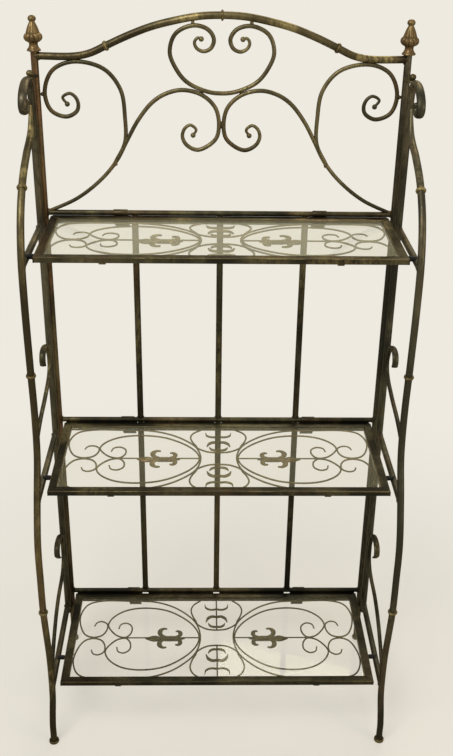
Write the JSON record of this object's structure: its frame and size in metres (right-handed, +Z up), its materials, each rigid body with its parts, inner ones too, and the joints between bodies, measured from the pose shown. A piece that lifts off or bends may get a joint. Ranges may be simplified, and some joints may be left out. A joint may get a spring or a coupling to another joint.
{
  "type": "bakers rack",
  "caption": "Folding iron bakers rack with glass shelves over wire scrollwork, an arched scrolled header, turned finials and curved front legs.",
  "frame": {"origin": "centre of the footprint on the floor", "axes": "+X to the right across the rack, +Y to the back posts and the wall, +Z up"},
  "size_m": [0.6784, 0.3332, 1.3675],
  "materials": {
    "dark_bronze": "antique bronze paint over iron, dark olive brown with rubbed gold highlights",
    "rubbed_bronze": "antique bronze paint rubbed through to copper in streaks",
    "wirework": "antique bronze paint over wire",
    "glass": "clear, faintly green float glass"
  },
  "bodies": {
    "back_frame": {"top_rail": "dark_bronze", "crown_collar": "dark_bronze", "centre_scroll": "dark_bronze", "left_back_post": "rubbed_bronze", "left_finial": "dark_bronze", "left_rear_foot": "dark_bronze", "left_rail_collar": "dark_bronze", "left_sweep_scroll": "dark_bronze", "left_side_scroll": "dark_bronze", "left_top_hinge_lug": "dark_bronze", "right_back_post": "rubbed_bronze", "right_finial": "dark_bronze", "right_rear_foot": "dark_bronze", "right_rail_collar": "dark_bronze", "right_sweep_scroll": "dark_bronze", "right_side_scroll": "dark_bronze", "right_top_hinge_lug": "dark_bronze", "top_cross_rail": "dark_bronze", "middle_cross_rail": "dark_bronze", "bottom_cross_rail": "dark_bronze", "middle_left_back_bar": "dark_bronze", "middle_centre_back_bar": "dark_bronze", "middle_right_back_bar": "dark_bronze", "lower_left_back_bar": "dark_bronze", "lower_centre_back_bar": "dark_bronze", "lower_right_back_bar": "dark_bronze"},
    "left_side_frame": {"left_upright": "rubbed_bronze", "left_hinge_knob": "dark_bronze", "left_front_leg": "rubbed_bronze", "left_front_foot": "dark_bronze", "left_upper_leg_collar": "dark_bronze", "left_middle_leg_collar": "dark_bronze", "left_lower_leg_collar": "dark_bronze", "left_top_side_bar": "dark_bronze", "left_middle_side_bar": "dark_bronze", "left_bottom_side_bar": "dark_bronze", "left_middle_brace": "dark_bronze", "left_lower_brace": "dark_bronze"},
    "right_side_frame": {"right_upright": "rubbed_bronze", "right_hinge_knob": "dark_bronze", "right_front_leg": "rubbed_bronze", "right_front_foot": "dark_bronze", "right_upper_leg_collar": "dark_bronze", "right_middle_leg_collar": "dark_bronze", "right_lower_leg_collar": "dark_bronze", "right_top_side_bar": "dark_bronze", "right_middle_side_bar": "dark_bronze", "right_bottom_side_bar": "dark_bronze", "right_middle_brace": "dark_bronze", "right_lower_brace": "dark_bronze"},
    "top_shelf": {"top_shelf_frame": "dark_bronze", "top_shelf_wirework": "wirework", "top_shelf_glass": "glass"},
    "middle_shelf": {"middle_shelf_frame": "dark_bronze", "middle_shelf_wirework": "wirework", "middle_shelf_glass": "glass"},
    "bottom_shelf": {"bottom_shelf_frame": "dark_bronze", "bottom_shelf_wirework": "wirework", "bottom_shelf_glass": "glass"}
  },
  "joints": [
    {"name": "top_shelf_lift", "type": "hinge", "parent": "back_frame", "child": "top_shelf", "pos_m": [0, 0.15038, 1.01], "axis": [-1, 0, 0], "range_deg": [0, 90]},
    {"name": "middle_shelf_lift", "type": "hinge", "parent": "back_frame", "child": "middle_shelf", "pos_m": [0, 0.15038, 0.574], "axis": [-1, 0, 0], "range_deg": [0, 90]},
    {"name": "bottom_shelf_lift", "type": "hinge", "parent": "back_frame", "child": "bottom_shelf", "pos_m": [0, 0.15038, 0.138], "axis": [-1, 0, 0], "range_deg": [0, 90]},
    {"name": "left_side_swing", "type": "hinge", "parent": "back_frame", "child": "left_side_frame", "pos_m": [-0.329, 0.12537, 0], "axis": [0, 0, -1], "range_deg": [0, 90]},
    {"name": "right_side_swing", "type": "hinge", "parent": "back_frame", "child": "right_side_frame", "pos_m": [0.329, 0.12537, 0], "axis": [0, 0, 1], "range_deg": [0, 90]}
  ]
}
